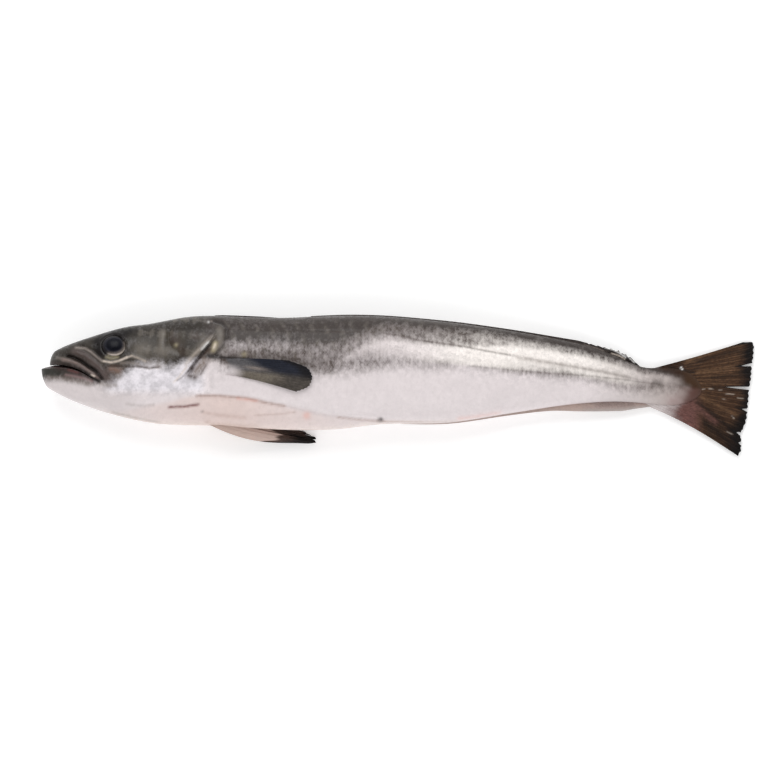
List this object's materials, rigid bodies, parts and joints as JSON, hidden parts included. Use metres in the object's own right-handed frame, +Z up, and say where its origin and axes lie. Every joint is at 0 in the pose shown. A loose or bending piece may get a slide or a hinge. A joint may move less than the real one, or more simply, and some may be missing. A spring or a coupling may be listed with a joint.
{
  "type": "small hake",
  "caption": "Whole raw hake lying on its side: long head with a slightly open mouth, folded back fins, a fin along its flank and a spread tail.",
  "frame": {"origin": "on the table, under the middle of the fish's bounding box", "axes": "+X from the head towards the tail, +Y from the belly towards the back, +Z up out of the fish's left side, which is the side shown"},
  "size_m": [0.4005, 0.0796, 0.037],
  "materials": {
    "skin": "wet and silvery, dark along the back and white along the belly",
    "eye": "glossy"
  },
  "bodies": {
    "root": {"hake": "skin", "eye_left": "eye", "eye_right": "eye"}
  },
  "joints": []
}
